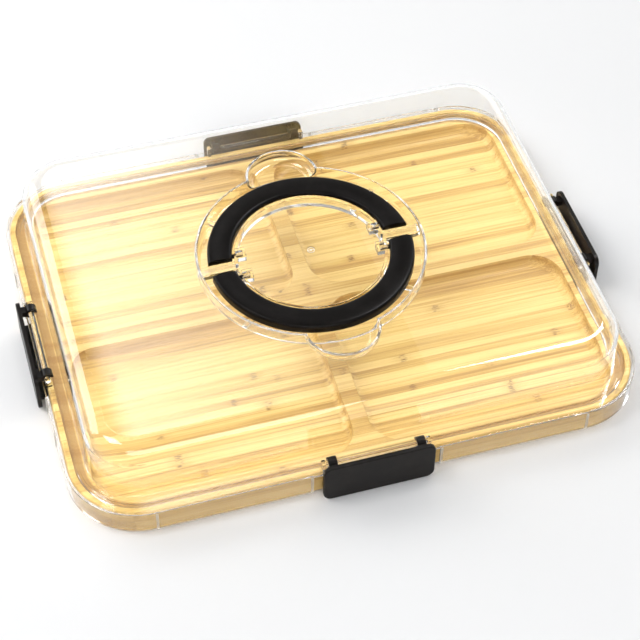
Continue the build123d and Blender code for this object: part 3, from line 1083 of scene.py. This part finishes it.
# -------- board
@dataclass
class Board:
    """The bamboo board: four compartments, the lid's channel and the catch slots."""

    half_x: float = 197.2
    half_y: float = 156.2
    corner: float = 47.2
    low: float = 2.0
    high: float = 21.0
    edge_round: float = 1.5
    channel_in: float = 4.1
    channel_width: float = 4.5
    channel_depth: float = 4.0
    near: float = 6.2
    far_x: float = 182.0
    far_y: float = 141.0
    pocket_corner: float = 22.0
    pocket_depth: float = 13.0
    floor_round: float = 6.0
    lip_round: float = 1.0
    slot_half: float = 37.0
    slot_depth: float = 4.6
    slot_low: float = 5.9
    slot_high: float = 11.3
    recess_radius: float = 8.1
    recess_depth: float = 1.5
    foot_x: float = 155.0
    foot_y: float = 114.0
    side_inset: float = 2.8
    margin: float = 0.1

    def blank(self) -> bpy.types.Object:
        """Make the board's blank with its rounded corners, edges and channel.

        Returns:
            The blank.
        """
        board = block(
            "base_board_body", (-self.half_x, -self.half_y, self.low), (self.half_x, self.half_y, self.high)
        )
        round_edges(board, lambda edge: runs_along(edge, 2), self.corner, 32)
        round_edges(board, lambda edge: level(edge, self.high) or level(edge, self.low), self.edge_round, 6)
        pick(board, "FACE", lambda face: level(face, self.high))
        bpy.ops.mesh.inset(thickness=(self.channel_in - self.edge_round) * MM)
        bpy.ops.mesh.inset(thickness=self.channel_width * MM)
        leave_edit()

        def in_channel(face: object) -> bool:
            """Say whether a face lies on the channel's band."""
            far = self.channel_in + self.channel_width + self.margin
            insets = [self.outline_inset(v.co) for v in face.verts]
            return level(face, self.high) and self.channel_in - self.margin < min(insets) and max(insets) < far

        pick(board, "FACE", in_channel)
        bpy.ops.mesh.extrude_region_move(TRANSFORM_OT_translate={"value": (0.0, 0.0, -self.channel_depth * MM)})
        leave_edit()
        return board

    def outline_inset(self, point: Vector) -> float:
        """Tell how far inside the board's outline a point lies, in millimetres."""
        x, y = abs(point.x) / MM, abs(point.y) / MM
        dx, dy = x - (self.half_x - self.corner), y - (self.half_y - self.corner)
        if dx > 0 and dy > 0:
            return self.corner - math.hypot(dx, dy)
        return min(self.half_x - x, self.half_y - y)

    def pocket(self, x_sign: int, y_sign: int) -> bpy.types.Object:
        """Make the space of one compartment.

        Args:
            x_sign: Which side of the middle it is on along X.
            y_sign: Which side of the middle it is on along Y.

        Returns:
            The space.
        """
        xs = sorted((x_sign * self.near, x_sign * self.far_x))
        ys = sorted((y_sign * self.near, y_sign * self.far_y))
        floor = self.high - self.pocket_depth
        space = block("space", (xs[0], ys[0], floor), (xs[1], ys[1], self.high + 5.0))
        round_edges(space, lambda edge: runs_along(edge, 2), self.pocket_corner, 20)
        round_edges(space, lambda edge: level(edge, floor), self.floor_round, 8)
        return space

    def build(self, material: bpy.types.Material) -> None:
        """Model the board.

        Args:
            material: The board's finish.
        """
        board = self.blank()
        for x_sign, y_sign in product((-1, 1), repeat=2):
            combine(board, self.pocket(x_sign, y_sign), "DIFFERENCE")
        merge_points(board)

        def mouth(edge: object) -> bool:
            """Say whether an edge lies round a compartment's mouth."""
            low = self.near - self.margin
            return level(edge, self.high) and all(
                low < abs(v.co.x) / MM < self.far_x + self.margin
                and low < abs(v.co.y) / MM < self.far_y + self.margin
                for v in edge.verts
            )

        round_edges(board, mouth, self.lip_round, 4)
        for _, turn, reach in SIDES:
            side = self.side_inset - reach
            low = (-self.slot_half, side - 2.0, self.slot_low)
            slot = block("slot", low, (self.slot_half, side + self.slot_depth, self.slot_high))
            slot.data.transform(turned(turn))
            combine(board, slot, "DIFFERENCE")
        for x_sign, y_sign in product((-1, 1), repeat=2):
            place = (x_sign * self.foot_x, y_sign * self.foot_y, self.low)
            recess = rod("recess", self.recess_radius, 2 * self.recess_depth, place, 64)
            combine(board, recess, "DIFFERENCE")
        merge_points(board)
        soften(board, 0.3, angle=50.0)
        join_frame(board, "base", "base_board", Slot.BAMBOO, material)


# -------- the object
class Dressing:
    """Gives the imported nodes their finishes."""

    def __init__(self, shared: SharedEffects) -> None:
        """Build every finish once."""
        self.bamboo = Bamboo().build(shared)
        self.clear = ClearPlastic().build(shared)
        self.black = SatinPlastic("satin_black", (0.0060, 0.0042, 0.0033), (0.013, 0.010, 0.008)).build(shared)
        self.handle_black = SatinPlastic(
            "soft_black_grip", (0.0034, 0.0024, 0.0019), (0.008, 0.006, 0.005), specular=0.11
        ).build(shared)
        self.frosted = ClearPlastic("frosted_gate", roughness=0.42).build(shared)
        self.rubber = SatinPlastic(
            "foot_rubber_matte", (0.03, 0.03, 0.03), (0.05, 0.05, 0.048), 0.72, 0.5, 0.05
        ).build(shared)

    def dress(self, node: str, material: bpy.types.Material) -> None:
        """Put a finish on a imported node."""
        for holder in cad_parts[node].material_slots:
            holder.material = material


# -------- studio
@dataclass
class Studio:
    """Pale floor, soft lights and the camera."""

    azimuth: float = -16.91
    elevation: float = 48.74
    roll: float = 0.716
    distance: float = 1.23097
    target: Place = (-0.005293, -0.041133, 0.0368)
    lens: float = 99.78
    bounces: int = 28
    glow: float = 3.6

    def camera(self) -> None:
        """Place the camera by its direction from the target."""
        turn, lift, roll = (math.radians(x) for x in (self.azimuth, self.elevation, self.roll))
        back = Vector((math.sin(turn) * math.cos(lift), -math.cos(turn) * math.cos(lift), math.sin(lift)))
        right = Vector((0.0, 0.0, 1.0)).cross(back).normalized()
        up = back.cross(right)
        right, up = (
            right * math.cos(roll) + up * math.sin(roll),
            up * math.cos(roll) - right * math.sin(roll),
        )
        data = bpy.data.cameras.new("camera")
        data.lens = self.lens
        data.sensor_width = 36.0
        data.clip_start, data.clip_end = 0.05, 50.0
        camera = bpy.data.objects.new("camera", data)
        bpy.context.scene.collection.objects.link(camera)
        place = Vector(self.target) + back * self.distance
        camera.matrix_world = Matrix.Translation(place) @ Matrix((right, up, back)).transposed().to_4x4()
        bpy.context.scene.camera = camera

    def floor(self) -> None:
        """Lay a wide pale floor that fades into the backdrop far from the tray."""
        clear_bench()
        bpy.ops.mesh.primitive_plane_add(size=14.0, location=(0.0, 0.0, 0.0))
        floor = bpy.context.object
        floor.name = "floor"
        material, graph, shader = new_material("pale_floor")
        place = graph.object_place()
        reach = graph.add("VectorMath", operation="LENGTH")
        graph.plug(place, reach.inputs[0])
        graph.plug(graph.step(reach.outputs["Value"], 2.6, 1.3), shader.inputs["Alpha"])
        tone = graph.noise(place, 3.0, 2.0)
        colour = graph.blend(tone, (0.90, 0.90, 0.905), (0.92, 0.92, 0.92))
        graph.plug(colour, shader.inputs["Base Color"])
        shader.inputs["Roughness"].default_value = 0.6
        floor.data.materials.append(material)

    def panel(
        self, name: str, place: Place, aim: Place, size: tuple[float, float], power: float, glint: bool = False
    ) -> None:
        """Hang a rectangular soft light.

        Args:
            name: The light's name.
            place: Its centre.
            aim: The point it faces.
            size: Its width and height.
            power: Its power in watts.
            glint: Whether it shows in reflections only.
        """
        data = bpy.data.lights.new(name, "AREA")
        data.shape = "RECTANGLE"
        data.size, data.size_y = size
        data.energy = power
        light = bpy.data.objects.new(name, data)
        bpy.context.scene.collection.objects.link(light)
        look = (Vector(aim) - Vector(place)).to_track_quat("-Z", "Y").to_matrix().to_4x4()
        light.matrix_world = Matrix.Translation(place) @ look
        light.visible_diffuse = not glint

    def glow_sheet(self) -> None:
        """Hang a sheet above and behind that is bright at its left edge and fades to the right."""
        clear_bench()
        bpy.ops.mesh.primitive_plane_add(size=1.0, location=(0.16, 1.15, 1.267))
        sheet = bpy.context.object
        sheet.name = "glow_sheet"
        sheet.scale = (0.50, 1.0, 1.0)
        sheet.rotation_euler = (0.0, math.pi, math.radians(2.5))
        sheet.visible_camera = False
        sheet.visible_shadow = False
        material = bpy.data.materials.new("glow")
        material.use_nodes = True
        graph = Graph(material.node_tree)
        across = graph.split(graph.object_place()).outputs[0]
        rise, fade = graph.step(across, 0.5, 0.40), graph.step(across, -0.5, 0.5)
        glow = graph.feed(graph.add("Emission"), Strength=graph.times(rise, fade, self.glow))
        graph.plug(glow.outputs[0], graph.add("OutputMaterial").inputs["Surface"])
        sheet.data.materials.append(material)

    def lights(self) -> None:
        """Light the scene softly from above, behind and the left."""
        world = bpy.data.worlds.new("surround")
        bpy.context.scene.world = world
        world.use_nodes = True
        graph = Graph(world.node_tree)
        upward = graph.split(graph.add("TexCoord").outputs["Generated"]).outputs[2]
        tone = graph.blend(graph.step(upward, 0.75, 0.05), (0.28, 0.285, 0.29), (0.80, 0.81, 0.82))
        sky = graph.feed(graph.add("Background"), Color=tone, Strength=1.0)
        graph.plug(sky.outputs[0], graph.add("OutputWorld").inputs["Surface"])
        self.glow_sheet()
        self.panel("key", (-1.2, 0.1, 2.0), (0.0, 0.0, 0.0), (0.8, 0.8), 15.0)
        self.panel("left_rear", (-1.5, 1.3, 0.95), (0.0, 0.0, 0.05), (1.6, 1.2), 22.0)
        self.panel("right_rear", (1.5, 1.3, 0.8), (0.0, 0.0, 0.05), (1.2, 0.9), 4.5)
        self.panel("right_box", (0.88, 0.29, 1.43), (0.158, -0.129, 0.067), (0.36, 0.85), 20.0, glint=True)
        self.panel("rear_sweep", (0.1, 1.7, 0.5), (0.0, 0.0, 0.1), (3.0, 0.9), 4.0)
        self.panel("front_fill", (-0.4, -2.0, 1.5), (0.0, 0.0, 0.0), (1.8, 1.0), 18.0)

    def build(self) -> None:
        """Set the camera, floor and lights."""
        self.camera()
        self.floor()
        self.lights()
        scene = bpy.context.scene
        scene.view_settings.view_transform = "Standard"
        scene.cycles.max_bounces = self.bounces
        scene.cycles.glossy_bounces = self.bounces
        scene.cycles.transmission_bounces = self.bounces
        scene.cycles.transparent_max_bounces = self.bounces


def main() -> None:
    """Build and dress every piece, then the studio."""
    logging.basicConfig(level=logging.INFO, format="%(name)s: %(message)s")
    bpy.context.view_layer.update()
    shared = SharedEffects()
    dressing = Dressing(shared)
    finishes = {
        Slot.BAMBOO.value: dressing.bamboo,
        Slot.CLEAR.value: dressing.clear,
        Slot.BLACK.value: dressing.black,
        Slot.RUBBER.value: dressing.rubber,
    }
    for name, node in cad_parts.items():
        slot = node.material_slots[0].material.name
        dressing.dress(name, finishes[slot])
        LOG.info("%s wears %s", name, slot)
    Board().build(dressing.bamboo)
    Feet().build(dressing.rubber)
    Clips().build(dressing.black)
    Handles().build(dressing.handle_black)
    GateMark().build(dressing.frosted)
    SkirtRibs().build(dressing.frosted)
    Studio().build()


if __name__ == "__main__":
    main()
